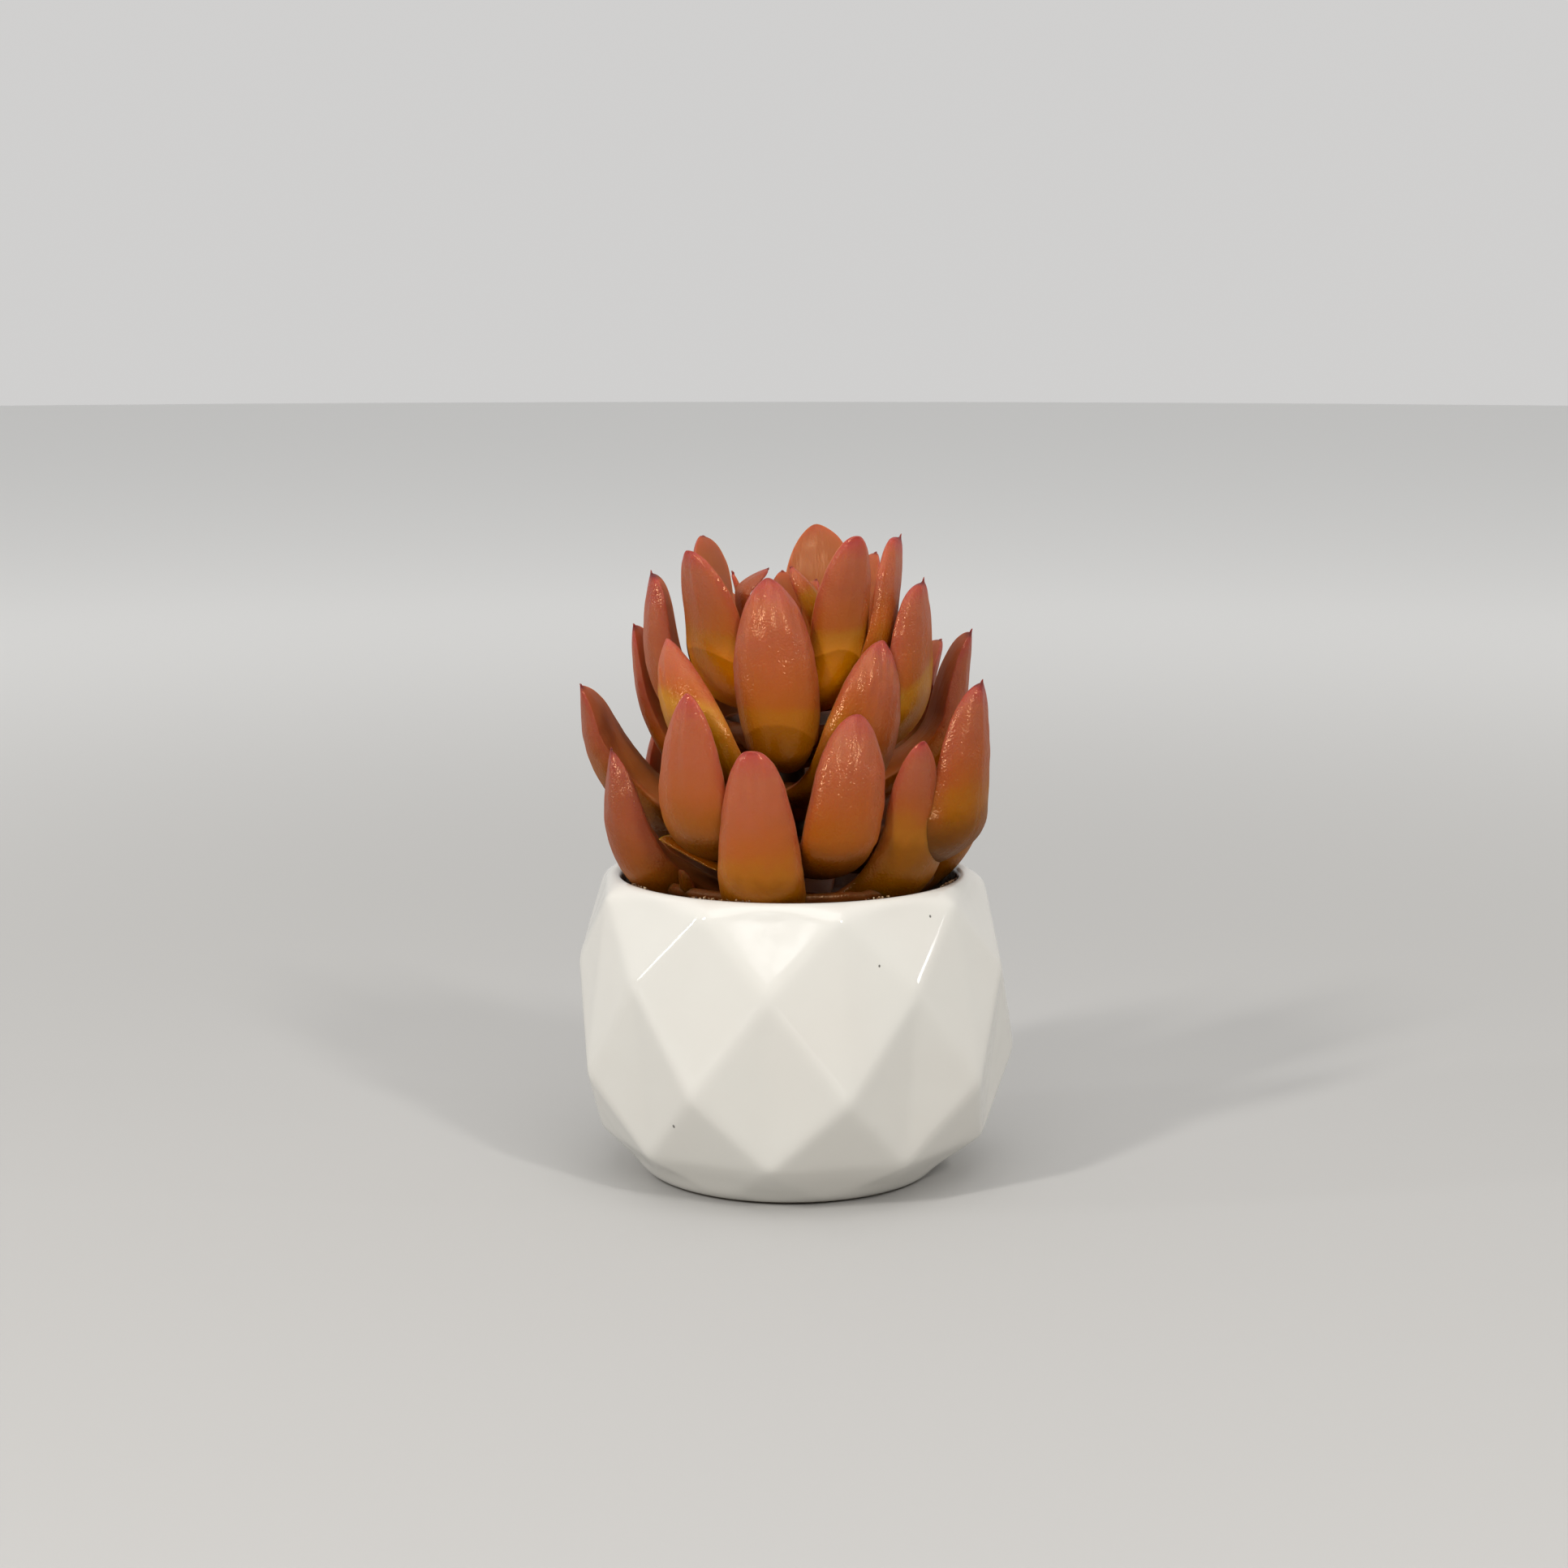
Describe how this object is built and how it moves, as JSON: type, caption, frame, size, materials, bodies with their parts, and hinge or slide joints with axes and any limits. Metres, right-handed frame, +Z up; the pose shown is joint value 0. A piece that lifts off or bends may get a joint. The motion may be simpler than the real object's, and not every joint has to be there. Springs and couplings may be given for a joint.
{
  "type": "potted aeonium",
  "caption": "Small potted aeonium: whorls of thick finger-shaped leaves on a short stem in a round faceted white ceramic pot.",
  "frame": {"origin": "centre of the pot's flat underside, on the table", "axes": "+Z up along the pot's axis; -Y is the front that the picture shows, +X to the right"},
  "size_m": [0.0805, 0.0809, 0.1186],
  "materials": {
    "white_glaze": "cream-white glossy glaze over a soft-edged faceted body",
    "dark_filling": "dark crumbly filling, matt",
    "stem_skin": "olive-brown stem, satin",
    "leaf_skin": "waxy leaf skin, red at the tip to olive-yellow at the root"
  },
  "bodies": {
    "root": {"pot": "white_glaze", "soil": "dark_filling", "stem": "stem_skin", "leaf_whorl_1": "leaf_skin", "leaf_whorl_2": "leaf_skin", "leaf_whorl_3": "leaf_skin", "leaf_whorl_4": "leaf_skin", "leaf_whorl_5": "leaf_skin", "leaf_whorl_6": "leaf_skin"}
  },
  "joints": []
}
